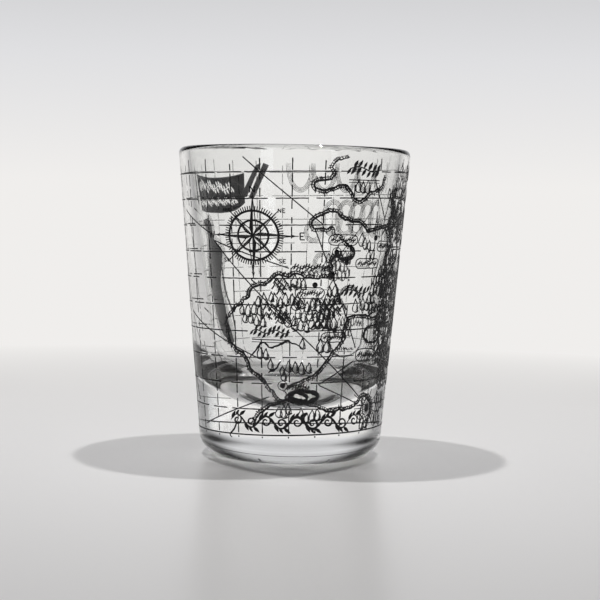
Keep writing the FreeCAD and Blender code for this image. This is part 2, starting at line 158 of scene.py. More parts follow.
def lathe(name, outside, inside, material):
    """Turn the two profiles about the axis into one closed mesh, with ripples on the inside."""
    vertices, faces, rings = [], [], []
    for points, rippled in ((outside, False), (inside, True)):
        for radius, height in points:
            if radius < 1e-6:
                rings.append([len(vertices)])
                vertices.append((0, 0, height * MM))
                continue
            rings.append(list(range(len(vertices), len(vertices) + GLASS_SEGMENTS)))
            for segment in range(GLASS_SEGMENTS):
                angle = 2 * math.pi * segment / GLASS_SEGMENTS
                wave = ripple(radius, height, angle) if rippled and height < HEIGHT - STILL_LIP else 0.0
                away = (radius + wave) * MM
                vertices.append((away * math.sin(angle), -away * math.cos(angle), (height + wave) * MM))
    for lower, upper in zip(rings, rings[1:]):
        for segment in range(GLASS_SEGMENTS):
            following = (segment + 1) % GLASS_SEGMENTS
            if len(lower) == 1:
                faces.append((lower[0], upper[following], upper[segment]))
            elif len(upper) == 1:
                faces.append((lower[segment], lower[following], upper[0]))
            else:
                faces.append((lower[segment], lower[following], upper[following], upper[segment]))
    return add_mesh(name, vertices, faces, [True] * len(faces), material)


def add_mesh(name, vertices, faces, smooth, material):
    mesh = bpy.data.meshes.new(name)
    mesh.from_pydata(vertices, [], faces)
    mesh.polygons.foreach_set("use_smooth", smooth)
    mesh.materials.append(material)
    return add_object(name, mesh)


def add_object(name, data):
    made = bpy.data.objects.new(name, data)
    bpy.context.scene.collection.objects.link(made)
    return made


# ------ pen work in a flat plane, in millimetres

def to_plane(centre, point):
    """(longitude, height) to flat millimetres about a central longitude."""
    return (math.radians(point[0] - centre) * outer_radius(point[1]), point[1])


def to_glass(centre, point):
    return (centre + math.degrees(point[0] / outer_radius(point[1])), point[1])


def surface_point(longitude, height, lift):
    radius = outer_radius(height) + lift
    angle = math.radians(longitude)
    return (radius * math.sin(angle) * MM, -radius * math.cos(angle) * MM, height * MM)


def area(points):
    """The area of an outline, negative if it goes clockwise."""
    total = 0.0
    for (x0, y0), (x1, y1) in zip(points, points[1:] + points[:1]):
        total += x0 * y1 - x1 * y0
    return total / 2


def smooth(points, spacing, closed=False):
    """A curve through the points, with a point about every `spacing` millimetres."""
    count = len(points)
    curve = []
    for index in range(count if closed else count - 1):
        p0 = points[index - 1] if index or closed else points[0]
        p1 = points[index]
        p2 = points[(index + 1) % count]
        p3 = points[(index + 2) % count] if index + 2 < count or closed else p2
        steps = max(1, round(math.dist(p1, p2) / spacing))
        for step in range(steps):
            t = step / steps
            spot = []
            for a, b, c, d in zip(p0, p1, p2, p3):
                spot.append(0.5 * (2 * b + (c - a) * t + (2 * a - 5 * b + 4 * c - d) * t * t
                                   + (3 * b - a - 3 * c + d) * t ** 3))
            curve.append(tuple(spot))
    return curve if closed else curve + [points[-1]]


def straight(start, end, spacing=1.0):
    return [start] + run(start, end, spacing) + [end]


def shaky(points, reach, seed, scale=1.2):
    """Move points as an unsteady pen would."""
    moved = []
    for x, y in points:
        spot = Vector((x / scale, y / scale, seed))
        fine = Vector((x * 2.7 / scale, y * 2.7 / scale, seed + 9.5))
        right = noise.noise(spot) + 0.5 * noise.noise(fine)
        up = noise.noise(spot + Vector((31, 7, 0))) + 0.5 * noise.noise(fine + Vector((31, 7, 0)))
        moved.append((x + reach * right, y + reach * up))
    return moved


def stroke(points, width, closed=False, ends=1.0, uneven=0.0):
    """Triangles of a pen stroke along a line, as wide at its ends as `ends` says."""
    count = len(points)
    sides = []
    for index, (x, y) in enumerate(points):
        before = points[index - 1] if index or closed else points[index]
        after = points[(index + 1) % count] if index + 1 < count or closed else points[index]
        across = Vector((before[1] - after[1], after[0] - before[0])).normalized()
        share = 1.0 if closed else min(1.0, ends + (1 - ends) * 4 * min(index, count - 1 - index) / count)
        half = width / 2 * share * (1 + uneven * noise.noise(Vector((x * 1.4, y * 1.4, 3.3))))
        left = (x + across.x * half, y + across.y * half)
        right = (x - across.x * half, y - across.y * half)
        sides.append((left, right))
    triangles = []
    for index in range(count if closed else count - 1):
        left, right = sides[index]
        next_left, next_right = sides[(index + 1) % count]
        triangles += [[left, right, next_right], [left, next_right, next_left]]
    return triangles


def circle(centre, radius, sides=20):
    spots = []
    for side in range(sides):
        angle = 2 * math.pi * side / sides
        spots.append((centre[0] + radius * math.cos(angle), centre[1] + radius * math.sin(angle)))
    return spots


def turned(points, angle, shift=(0, 0), size=1.0):
    """Points turned by an angle in degrees, sized, and moved."""
    cos, sin = math.cos(math.radians(angle)) * size, math.sin(math.radians(angle)) * size
    return [(shift[0] + x * cos - y * sin, shift[1] + x * sin + y * cos) for x, y in points]


def beside(points, distance):
    """A line that runs beside another, to its left where the distance is positive."""
    moved = []
    for index, (x, y) in enumerate(points):
        before, after = points[max(index - 1, 0)], points[min(index + 1, len(points) - 1)]
        across = Vector((before[1] - after[1], after[0] - before[0])).normalized() * distance
        moved.append((x + across.x, y + across.y))
    return moved


def encloses(outline, spot):
    """Whether an outline goes round a spot."""
    inside = False
    for (x0, y0), (x1, y1) in zip(outline, outline[1:] + outline[:1]):
        if (y0 > spot[1]) != (y1 > spot[1]) and spot[0] < x0 + (x1 - x0) * (spot[1] - y0) / (y1 - y0):
            inside = not inside
    return inside


class Ink:
    """Enamel gathered shape by shape, then raised on the glass as one mesh."""

    def __init__(self):
        self.vertices = []
        self.faces = []
        self.smooth = []

    def add(self, centre, shapes, holes=(), spread=False):
        """Merge flat shapes about a longitude, and raise all that lies in a shape and in no hole."""
        points, loops = [], []
        filled = 0
        for number, shape in enumerate([*shapes, *holes]):
            size = area(shape)
            if abs(size) < SMALLEST_AREA:
                continue
            loop = shape if size > 0 else shape[::-1]
            loops.append(list(range(len(points), len(points) + len(loop))))
            points += [Vector(point) for point in loop]
            if number < len(shapes):
                filled = len(loops)
        if spread:
            points += self.inner_points(points)
        spots, _, triangles, _, _, owners = geometry.delaunay_2d_cdt(points, [], loops, 0, 1e-4)
        kept = []
        for triangle, owner in zip(triangles, owners):
            middle = sum((spots[index] for index in triangle), Vector((0, 0))) / 3
            around = [one for one in owner if encloses([points[index] for index in loops[one]], middle)]
            if around and max(around) < filled:
                kept.append(triangle)
        self.raise_from_glass(centre, spots, kept)

    @staticmethod
    def inner_points(points):
        """A grid of points over a shape's box."""
        low_x, high_x = min(p.x for p in points), max(p.x for p in points)
        low_y, high_y = min(p.y for p in points), max(p.y for p in points)
        extra = []
        for column in range(1, int((high_x - low_x) / FILL_GRID) + 1):
            for row in range(1, int((high_y - low_y) / FILL_GRID) + 1):
                extra.append(Vector((low_x + column * FILL_GRID, low_y + row * FILL_GRID)))
        return extra

    def raise_from_glass(self, centre, spots, triangles):
        """Close the triangles into a thin shell: a top, a bottom in the glass, and walls round the edge."""
        number = {}
        for index in sorted({index for triangle in triangles for index in triangle}):
            number[index] = len(self.vertices)
            longitude, height = to_glass(centre, spots[index])
            for lift in (INK_RISE, -INK_SINK):
                self.vertices.append(surface_point(longitude, height, lift))
        edges = set()
        for a, b, c in triangles:
            self.faces += [(number[a], number[b], number[c]), (number[a] + 1, number[c] + 1, number[b] + 1)]
            self.smooth += [True, True]
            edges.update(((a, b), (b, c), (c, a)))
        for a, b in sorted(edges):
            if (b, a) not in edges:
                self.faces.append((number[a], number[a] + 1, number[b] + 1, number[b]))
                self.smooth.append(False)

    def finish(self, name, node, material):
        piece = add_mesh(name, self.vertices, self.faces, self.smooth, material)
        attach(piece, "root")
        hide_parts(node)


# ------ map grid

MERIDIANS = 23
MERIDIAN_SHIFT = -0.9
BORDER_HEIGHT = 6.6
GRID_PITCH = 5.17
PARALLELS = 10
PRINT_TOP = 61.6
CROSSING_GAP = 0.28
BORDER_STUB = 0.6  # how far a meridian runs on below the border line
BORDER_WIDTH = 0.28
PRINT_TILT = 0.5  # the grid sits a little higher on the right

MERIDIAN_STEP = 360 / MERIDIANS
LEVELS = [BORDER_HEIGHT + GRID_PITCH * row for row in range(PARALLELS + 1)]
MERIDIAN_LONGITUDES = [
    MERIDIAN_SHIFT + MERIDIAN_STEP * (column - MERIDIANS // 2) for column in range(MERIDIANS)
]
DASH_SHARES = (0.5, 0.8, 1.0, 1.0, 1.0)
UPRIGHT_SHARES = (0.6, 0.8, 1.0, 1.0)


def tilted(level, longitude):
    return level + PRINT_TILT * math.sin(math.radians(longitude))


def in_a_plate(longitude, height, room, room_above):
    """Whether a point of the map lies in a name plate, or this close to one."""
    for plate_longitude, plate_height, length, half, _ in PLATES:
        across, up = to_plane(plate_longitude, (longitude, height))
        if abs(across) < length / 2 + room and abs(up - plate_height) < half + room_above:
            return True
    return False


def clear_of_names(longitude, points):
    """The runs of a flat line that stay out of the name plates."""
    runs, current = [], []
    for point in points:
        if in_a_plate(*to_glass(longitude, point), 0.2, 0):
            runs.append(current)
            current = []
        else:
            current.append(point)
    return [points for points in runs + [current] if len(points) > 1]


def draw_grid_line(ink, longitude, start, end, seed):
    line = shaky(straight(start, end, 0.5), 0.04, seed)
    width = FINE if abs(longitude) < BACK_FROM else FAINT
    for points in clear_of_names(longitude, line):
        ink.add(longitude, stroke(points, width, uneven=0.3))


def draw_parallels(ink):
    """Each parallel is a row of dashes, some of which stop short between the meridians."""
    chance = random.Random(11)
    for level in LEVELS[1:]:
        for longitude in MERIDIAN_LONGITUDES:
            half = math.radians(MERIDIAN_STEP / 2) * outer_radius(level)
            left = half * chance.choice(DASH_SHARES)
            right = half * chance.choice(DASH_SHARES)
            low = tilted(level, longitude - MERIDIAN_STEP / 2)
            high = tilted(level, longitude + MERIDIAN_STEP / 2)
            slope = (high - low) / (2 * half)
            middle = (low + high) / 2
            start, end = (-left, middle - slope * left), (right, middle + slope * right)
            draw_grid_line(ink, longitude, start, end, level)


def draw_meridians(ink):
    """Each meridian breaks at the parallels, and here and there between them."""
    chance = random.Random(12)
    for longitude in MERIDIAN_LONGITUDES:
        for flat_level in LEVELS:
            level = tilted(flat_level, longitude)
            headroom = tilted(PRINT_TOP, longitude) - level
            up = min(GRID_PITCH / 2 * chance.choice(UPRIGHT_SHARES), headroom)
            down = GRID_PITCH / 2 * chance.choice(UPRIGHT_SHARES)
            if flat_level == BORDER_HEIGHT:
                if abs(longitude) > BACK_FROM:
                    continue
                down = BORDER_STUB
            draw_grid_line(ink, longitude, (0, level + CROSSING_GAP), (0, level + up), level)
            draw_grid_line(ink, longitude, (0, level - CROSSING_GAP), (0, level - down), level)


def draw_border_line(ink):
    sections = 24
    for section in range(sections):
        longitude = 360 * (section + 0.5) / sections
        span = 180 / sections
        reach = math.radians(span) * outer_radius(BORDER_HEIGHT)
        start = (-reach, tilted(BORDER_HEIGHT, longitude - span))
        end = (reach, tilted(BORDER_HEIGHT, longitude + span))
        ink.add(longitude, stroke(straight(start, end), BORDER_WIDTH))


# ------ compass rose

ROSE_LONGITUDE = -20.5
ROSE_HEIGHT = 45.8
ROSE_RING = 4.8
ROSE_INNER_RING = 2.95
ROSE_NEEDLE = 7.9
ROSE_SHORT_NEEDLE = 6.2
ROSE_STRETCH = 1.08  # the flat artwork fans out with the taper of the glass


def rose(ink, shapes):
    """Add shapes that are drawn about the middle of the rose."""
    ink.add(ROSE_LONGITUDE, [[(x * ROSE_STRETCH, y + ROSE_HEIGHT) for x, y in shape] for shape in shapes])


def draw_compass_rings(ink):
    rose(ink, stroke(circle((0, 0), ROSE_RING, 90), 0.44, closed=True))
    rose(ink, stroke(circle((0, 0), ROSE_INNER_RING, 64), 0.4, closed=True))


def draw_compass_ticks(ink):
    """A tick every five degrees, apart from where the main needles cross the ring."""
    for angle in range(0, 360, 5):
        if angle % 90:
            tick = turned([(ROSE_RING + 0.17, 0), (ROSE_RING + 0.95, 0)], angle)
            rose(ink, stroke(tick, 0.2))


def needle(reach, half_width, angle):
    """A long narrow point, one half filled and the other only outlined."""
    foot = 1.35
    filled = [(0, 0), (foot, half_width), (reach, 0)]
    outlined = [(0, 0), (foot, -half_width), (reach, 0)]
    shapes = [turned(filled, angle)]
    for line in (outlined, [(0, 0), (reach + 0.5, 0)]):
        shapes += stroke(turned(line, angle), 0.18)
    return shapes


def draw_compass_needles(ink):
    for step in range(8):
        long_one = step % 2 == 0
        reach, half_width = (ROSE_NEEDLE, 0.68) if long_one else (ROSE_SHORT_NEEDLE, 0.54)
        shapes = needle(reach, half_width, 45 * step)
        if long_one:
            barb = [(reach - 0.9, 0.34), (reach + 0.25, 0), (reach - 0.9, -0.34), (reach - 0.55, 0)]
            shapes.append(turned(barb, 45 * step))
        rose(ink, shapes)
    rose(ink, [circle((0, 0), 0.42, 14)])


LETTERS = {
    "N": [[(-0.4, -0.6), (-0.4, 0.6)], [(-0.4, 0.6), (0.4, -0.6)], [(0.4, -0.6), (0.4, 0.6)]],
    "E": [[(-0.35, 0.6), (-0.35, -0.6)], [(-0.35, 0.6), (0.4, 0.6)], [(-0.35, 0), (0.2, 0)],
          [(-0.35, -0.6), (0.4, -0.6)]],
    "S": [[(0.35, 0.4), (0, 0.6), (-0.35, 0.35), (0, 0), (0.35, -0.3), (0, -0.6), (-0.38, -0.4)]],
    "W": [[(-0.6, 0.6), (-0.3, -0.6)], [(-0.3, -0.6), (0, 0.5)], [(0, 0.5), (0.3, -0.6)],
          [(0.3, -0.6), (0.6, 0.6)]],
}


def draw_compass_letters(ink):
    """Points of the compass, as on any rose."""
    words = (("N", 90, 8.95), ("E", 0, 9.05), ("S", -90, 8.95), ("W", 180, 9.1),
             ("NE", 42, 7.3), ("SE", -42, 7.3), ("NW", 138, 7.3), ("SW", -138, 7.3))
    for word, angle, reach in words:
        size, pen = (1.1, 0.24) if len(word) == 1 else (0.62, 0.18)
        x = reach * math.cos(math.radians(angle))
        y = reach * math.sin(math.radians(angle))
        for place, letter in enumerate(word):
            shift = (x + (place - (len(word) - 1) / 2) * 1.25 * size, y)
            for line in LETTERS[letter]:
                path = turned(line, 0, shift, size)
                if letter == "S":
                    path = smooth(path, 0.15 * size)
                rose(ink, stroke(path, pen))


# ------ lands

# Coasts as (sea side of the pen's way: 1 left or -1 right, kind, [(longitude, height), ...]).
COASTS = [
    (1, "shore", [  # north shore of the main island
        (-38, 29), (-31, 31.5), (-25.5, 33), (-22, 35), (-18.5, 36), (-13, 36.5), (-8, 38.2), (-3, 38),
        (2, 38.6), (8, 37.8), (17.5, 37.8), (20.5, 38.6)]),
    (1, "shore", [  # east shore of the main island
        (67, 29.7), (48, 29.9), (41.5, 30.4), (31.5, 30), (29.5, 28.5), (28, 25.3), (22, 22.6), (17, 20.3),
        (13, 18.9), (7.3, 17.8), (-1, 16.5), (-4, 15.4)]),
    (-1, "shore", [  # west shore of the main island
        (-38, 29), (-35.5, 25), (-31, 23.4), (-26, 22.3), (-24, 20), (-19.5, 18.8), (-15.3, 17.6),
        (-12, 16), (-5.5, 13.8)]),
    (-1, "shore", [  # south coast, west of the atoll
        (-4.5, 13.9), (-6.5, 13), (-12, 12.2), (-16.6, 11.2), (-20, 9.8), (-22.4, 8.2)]),
    (1, "shore", [  # south coast, east of the atoll
        (5.5, 13), (11.5, 12.5), (20, 11.7), (25, 11.3), (31, 11.5), (38, 11.8), (42.5, 12.6), (47, 14),
        (52.5, 12.8), (55, 11), (51, 7.4)]),
    (-1, "shore", [  # land at the top
        (26.5, 61.2), (21, 60.6), (18.2, 59.4), (19.5, 58), (17.4, 56.9), (13.5, 56.6), (9.6, 56.3),
        (10.2, 55.2), (14.2, 54.9), (18.8, 55.2), (23.5, 55.8), (26.5, 55.6), (29.6, 54), (31.5, 53.2),
        (36, 53.2), (39, 54.4), (43.6, 55.1), (47.5, 56), (49, 58)]),
    (1, "shore", [  # peninsula
        (25.4, 45.8), (21.5, 46.4), (19.5, 47.6), (16, 47.4), (10.5, 47.4), (9.5, 48.9), (13.8, 50),
        (19.8, 50.8), (25.4, 49.3), (33.6, 48.7), (38.6, 47.5), (40.5, 46.8), (44.6, 47.2), (56, 47.8),
        (64, 47.8)]),
    (-1, "heavy", [  # cove below the peninsula
        (25.6, 45.2), (28.3, 44.2), (32.2, 43.3), (31.7, 41.8), (27.3, 41.4), (21.6, 42), (19.6, 41.1),
        (21, 39.3)]),
    (-1, "heavy", [  # strait beside the atoll
        (-9, 14), (-4, 13.4), (0.5, 14.2), (5.5, 13)]),
    (1, "shore", [  # eastern land
        (64, 49), (66, 52.5), (71, 52), (73, 49), (76, 50), (82, 53.5), (90, 55), (97, 52), (103, 46),
        (100, 41), (106, 36), (103, 30), (96, 26), (93, 21), (86, 17.5), (78, 16), (70, 18.5), (62, 15)]),
    (-1, "shore", [  # inlet that runs down the west of the eastern land
        (60, 55.5), (58.5, 53), (61, 50.5), (57.5, 48.5), (61, 44), (57, 41.5), (60.5, 38), (56.5, 35),
        (59, 32.5)]),
    (1, "shore", [  # the inlet's other side
        (68, 55), (70, 51), (66.5, 47), (70.5, 43), (66, 39), (69.5, 35.5), (66.5, 31.5)]),
    (-1, "closed", [  # island on the back
        (152, 28), (143, 32.5), (133, 33), (124, 30), (117, 25), (119, 18), (129, 14.5), (141, 15.5),
        (150, 20)]),
]

RHUMB_LINES = [
    ((-25, 61), (15, 48)), ((-72, 50.6), (-45.5, 45.8)), ((-43.5, 44.6), (-2, 39.6)),
    ((-44, 44.6), (44.5, 13.6)), ((-73, 30.2), (-17, 21.6)), ((-62, 7.4), (-12.5, 14.2)),
    ((16, 16.6), (42.5, 12.5)), ((15.5, 16.7), (39.5, 21.8)), ((10.6, 47.3), (38.4, 23.4)),
    ((42.4, 57.2), (53, 49)), ((110, 56), (150, 40)), ((-70, 12), (-110, 42)),
]
RAY_NODE = (51.5, 11.5)
RAYS = 20

RIVERS = [
    [(-24, 21.5), (-19.5, 23.5), (-15.5, 25), (-11.5, 24), (-6, 24.8), (-2, 25.2), (3, 24.8), (6, 23.8)],
    [(-13, 19), (-8.5, 19.8), (-5.5, 21.5)],
    [(76, 44), (80, 41), (79, 37), (85, 34), (88, 29)],
    [(146, 44), (152, 41), (151, 36), (156, 33)],
]

# Towns as (longitude, height, kind).
TOWNS = [
    (22.5, 42.8, "ringed"), (28.5, 40.8, "dot"), (20.4, 38.4, "square"), (11.6, 36.4, "dot"),
    (23.7, 27.5, "dot"), (-4.6, 16.5, "ringed"), (46.5, 45.6, "dot"), (70, 42, "ringed"), (84, 24, "dot"),
]

# Plates with a sprig of leaves, where names would stand: (longitude, height, length, half tallness, kind).
PLATES = [
    (36.3, 59, 7.6, 2, "ruled"), (26, 45.2, 6.4, 1, "framed"), (42, 40.6, 6.2, 0.95, "framed"),
    (8.8, 39.8, 7, 0.9, "open"), (9.1, 34.8, 5.8, 1.05, "framed"), (35.4, 35.1, 6.2, 1.7, "open"),
    (-11.5, 27.1, 7.6, 1.5, "ruled"), (23.4, 26.1, 5.4, 0.95, "framed"), (45.8, 22.4, 5.4, 1.2, "framed"),
    (4.6, 16.3, 4.2, 0.85, "open"), (54.5, 44, 5, 1, "framed"), (88, 45, 7, 1.5, "ruled"),
    (97, 33, 6, 1.1, "framed"), (134, 18.8, 6, 1.1, "ruled"),
]
TITLE_FROM, TITLE_TO, TITLE_HEIGHT = -37.5, 45.5, 9.1
SCROLL_WAVES = 9
SCROLL_HEIGHT = 1.2


def coast_shapes(line, sea, width, chance):
    """A shore: a firm line, with ragged ticks and a faint second line on the side of the sea."""
    shapes = stroke(line, width, ends=0.5, uneven=0.5)
    shapes += stroke(beside(line, sea * 0.5), 0.22, ends=0.5, uneven=1.0)
    for index in range(1, len(line) - 1):
        (x0, y0), (x1, y1) = line[index - 1], line[index + 1]
        across = Vector((y0 - y1, x1 - x0)).normalized() * sea
        along = Vector((x1 - x0, y1 - y0)).normalized()
        start = Vector(line[index])
        end = start + across * chance.uniform(0.4, 0.9) + along * chance.uniform(0.0, 0.4)
        shapes += stroke([tuple(start), tuple(end)], 0.2)
    return shapes


def draw_coastlines(ink):
    chance = random.Random(21)
    for number, (sea, kind, outline) in enumerate(COASTS):
        centre = sum(point[0] for point in outline) / len(outline)
        flat = [to_plane(centre, point) for point in outline]
        closed = kind == "closed"
        line = shaky(smooth(flat, 0.34, closed), 0.34, number)
        if closed:
            line.append(line[0])
        ink.add(centre, coast_shapes(line, sea, HEAVY_COAST if kind == "heavy" else COAST, chance))


def draw_rhumb_lines(ink):
    """Straight sailing lines, and a hub of rays with unsteady loops about it."""
    for start, end in RHUMB_LINES:
        centre = (start[0] + end[0]) / 2
        line = straight(to_plane(centre, start), to_plane(centre, end), 0.5)
        for points in clear_of_names(centre, line):
            ink.add(centre, stroke(points, FINE, uneven=0.2))
    hub = to_plane(RAY_NODE[0], RAY_NODE)
    rays = [circle(hub, 0.45, 12)]
    for step in range(RAYS):
        reach = 2.6 + 1.2 * (step % 3)
        rays += stroke(turned(straight((0.3, 0), (reach, 0)), 360 / RAYS * step, hub), 0.17)
    for number, radius in enumerate((1.5, 2.2)):
        loop = [(x * 0.9, y * 1.25) for x, y in circle((0, 0), radius, 26)]
        rays += stroke(shaky(turned(loop, 0, hub), 0.5, 60 + number, 0.8), 0.24, closed=True, uneven=0.6)
    ink.add(RAY_NODE[0], rays)


def draw_rivers(ink):
    for number, outline in enumerate(RIVERS):
        centre = outline[0][0]
        flat = [to_plane(centre, point) for point in outline]
        line = shaky(smooth(flat, 0.3), 0.25, 40 + number)
        ink.add(centre, stroke(line, 0.38, ends=0.4, uneven=0.6))


TREE_WIDTH = 1.6
TREE_HEIGHT = 2.6
TREE_SIDES = 18


def tree(foot, size, lean, seed):
    """A cypress-like tree in outline, pointed at the top, with a shaded side."""
    outline = []
    for side in range(TREE_SIDES):
        angle = 2 * math.pi * side / TREE_SIDES
        across = math.sin(angle) * abs(math.sin(angle / 2)) ** 1.6 * 0.62
        outline.append((TREE_WIDTH * across, TREE_HEIGHT / 2 * (1 + math.cos(angle))))
    shade = [(0.05, 0.2), (0.36, 0.45), (0.4, 0.95), (0.24, 1.4)]
    foot_line = [(-0.2, -0.06), (0.35, -0.04), (0.85, 0.2)]
    outline = shaky(turned(outline, lean, foot, size), 0.16, seed, 0.5)
    shapes = stroke(outline, 0.22, closed=True, uneven=0.5)
    shapes += stroke(turned(shade, lean, foot, size), 0.24, ends=0.4)
    return shapes + stroke(turned(foot_line, lean, foot, size), 0.26)


ROW_PITCH = 1.9
ROW_SHIFT = 0.3  # rows of more than one tree are set off by this, in turn left and right
WOODS_DROP = 2.1  # from a wood's height to the feet of its middle row
# Woods as (longitude, height, width in millimetres, rows, trees in a row).
WOODS = [
    (-11, 34.6, 1.2, 1, 1), (-21.5, 30.4, 5.2, 2, 4), (-6.7, 32.2, 2.2, 2, 2), (4, 36.8, 2.6, 1, 3),
    (10.2, 30.6, 6.8, 3, 6), (20.5, 34.8, 3.2, 2, 3), (0.5, 33.4, 3.6, 1, 3), (-1.5, 29.6, 3.4, 1, 3),
    (19.4, 30, 2.8, 2, 3), (-15.5, 33.4, 2.6, 1, 2), (5.9, 25.4, 1.2, 1, 1), (-14.9, 23, 2.2, 1, 2),
    (-11.5, 20.8, 1.2, 1, 1), (3.2, 20.2, 6.4, 1, 5), (-4, 18.6, 1.2, 1, 1), (18.5, 24.3, 2.6, 1, 2),
    (36, 55.8, 3.4, 1, 3), (34.5, 57, 1.4, 1, 1), (40, 44.8, 3.2, 1, 3), (46, 42.6, 3.4, 1, 3),
    (39, 32.2, 3.4, 1, 2), (46, 33, 3.2, 2, 3), (52, 37.5, 4.2, 3, 4), (60, 41, 4.2, 3, 4),
    (62, 33.5, 4, 3, 4), (70, 47, 4.4, 2, 4), (74, 35, 6, 4, 5), (90, 38, 6, 3, 5), (80, 21, 6, 2, 5),
    (66, 22.5, 4.4, 3, 4), (57, 22.5, 3, 2, 3), (-3, 11.6, 2.8, 1, 3), (12, 10.8, 4.4, 1, 4),
    (56, 36.5, 4, 2, 4), (60, 28, 3.5, 2, 3), (68, 27, 4, 3, 4), (64, 50, 4, 2, 4), (58, 53.5, 3, 2, 3),
    (72, 55.5, 4, 2, 4), (82, 58.5, 5, 1, 5), (66, 17.5, 4, 2, 4), (77, 28.5, 5, 3, 5), (83, 49, 5, 2, 5),
    (150, 38, 7, 3, 6), (139, 25, 6, 2, 5), (162, 29, 5, 2, 4), (112, 47, 5, 2, 4),
    (67, 12.6, 4.4, 2, 4), (65, 8.9, 4.4, 1, 4), (45, 9.6, 1.4, 1, 1), (50.5, 8.4, 2.4, 1, 2),
]


def draw_trees(ink):
    chance = random.Random(31)
    for longitude, height, width, rows, per_row in WOODS:
        shapes = []
        for row in range(rows):
            for place in range(per_row):
                shift = 0 if per_row == 1 else ROW_SHIFT if row % 2 else -ROW_SHIFT
                x = width * ((place + 0.5) / per_row - 0.5) + shift
                y = height + ROW_PITCH * (rows / 2 - row) - WOODS_DROP + chance.uniform(-0.45, 0.45)
                size = chance.uniform(0.72, 1.08)
                lean = chance.uniform(-4, 4)
                if not in_a_plate(*to_glass(longitude, (x, y + TREE_HEIGHT / 2)), 0.5, 0.5):
                    shapes += tree((x, y), size, lean, place + 10 * row)
        if shapes:
            ink.add(longitude, shapes)


# Mountain rows as (longitude, height, peaks).
RANGES = [
    (-6.4, 36.6, 2), (-6.8, 35.4, 2), (-6, 34.3, 1), (0.5, 35.2, 3), (3, 32.2, 2), (-11.5, 31.4, 2),
    (15.5, 27.6, 3), (-8.5, 29.7, 4), (-4.5, 28.9, 2), (23.2, 32.6, 2), (24.8, 31.4, 3), (22.6, 30.3, 2),
    (12, 33, 2), (57, 46.5, 3), (52, 31, 3), (81, 40.5, 4), (92, 30, 4), (68, 38, 3), (168, 36, 3),
    (124, 25.5, 3), (146, 29.5, 2), (72, 19, 3), (33, 60.2, 3), (43, 59.8, 2),
]


def draw_mountains(ink):
    """Rows of peaks, each with a ridge line and three short strokes of shade."""
    chance = random.Random(41)
    ridge = [(-0.85, 0), (-0.45, 0.6), (-0.1, 1.3), (0.25, 0.85), (0.5, 0.4), (0.95, 0)]
    for longitude, height, peaks in RANGES:
        shapes = []
        for peak in range(peaks):
            x = (peak - (peaks - 1) / 2) * 1.2
            y = height + chance.uniform(-0.25, 0.25)
            size = chance.uniform(0.8, 1.15)
            if in_a_plate(*to_glass(longitude, (x, y + 0.6)), 0.2, 0.2):
                continue
            shapes += stroke(turned(ridge, 0, (x, y), size), 0.3, uneven=0.5)
            for hatch in range(3):
                top = (x + (0.05 + 0.24 * hatch) * size, y + (1.0 - 0.3 * hatch) * size)
                shapes += stroke([top, (top[0] - 0.14, top[1] - 0.5 * size)], 0.2)
        if shapes:
            ink.add(longitude, shapes)


def draw_town_marks(ink):
    for longitude, height, kind in TOWNS:
        if kind == "square":
            corners = [(-0.5, -0.5), (0.5, -0.5), (0.5, 0.5), (-0.5, 0.5)]
            ink.add(longitude, [turned(corners, 0, (0, height))])
            continue
        ink.add(longitude, [circle((0, height), 0.54, 18)])
        if kind == "ringed":
            ink.add(longitude, stroke(circle((0, height), 0.92, 24), 0.16, closed=True))


# ------ leaves and scrolls in place of lettering

def leaf(root, angle, length, fat=0.24):
    """A pointed leaf that grows from its root."""
    half = [(0, 0), (0.25, 0.85), (0.5, 1.0), (0.78, 0.55), (1, 0)]
    outline = [(x, fat * y) for x, y in half] + [(x, -fat * y) for x, y in half[-2:0:-1]]
    return turned(outline, angle, root, length)


def sprig(length, size):
    """A wavy stem with close slanted leaves above and below, centred on (0, 0)."""
    waves = max(1, round(length / (3.4 * size)))

    def on_stem(share):
        return (length * (share - 0.5), 0.28 * size * math.sin(2 * math.pi * waves * share))

    shapes = stroke([on_stem(step / (10 * waves)) for step in range(10 * waves + 1)], 0.26, uneven=0.3)
    leaves = max(8, round(length / (0.36 * size)))
    for number in range(leaves):
        turn = 58 if number % 2 else -128
        reach = (0.9 + 0.3 * (number * 7 % 5) / 4) * size
        shapes.append(leaf(on_stem((number + 0.5) / leaves), turn, reach, 0.2))
    return shapes


def frame_line(length, half_height):
    """The outline of a name plate with rounded ends."""
    flat = length / 2 - half_height
    turns = []
    for step in range(13):
        angle = math.radians(-90 + 15 * step)
        turns.append((flat + half_height * math.cos(angle), half_height * math.sin(angle)))
    other = [(-x, -y) for x, y in turns]
    return turns + run(turns[-1], other[0], 0.6) + other + run(other[-1], turns[0], 0.6)


def draw_name_sprigs(ink):
    for number, (longitude, height, length, half, kind) in enumerate(PLATES):
        if kind == "framed":
            shapes = sprig(length - 1.1, half * 0.62)
            shapes += stroke(shaky(frame_line(length, half), 0.08, number), 0.2, closed=True)
        else:
            shapes = sprig(length, half * 0.82)
        if kind == "ruled":
            rule = straight((-length / 2, -half - 0.1), (length / 2, -half - 0.1))
            shapes += stroke(rule, 0.2) + stroke(beside(rule, -0.5), 0.14)
        ink.add(longitude, [[(x, y + height) for x, y in shape] for shape in shapes])


def curl(turns, size):
    """A spiral tendril that starts at (0, 0), rises and winds in."""
    points = []
    steps = int(16 * turns)
    for step in range(steps + 1):
        share = step / steps
        angle = math.radians(360 * turns * share - 90)
        radius = size * (1 - 0.78 * share)
        points.append((radius * math.cos(angle), size + radius * math.sin(angle)))
    return points


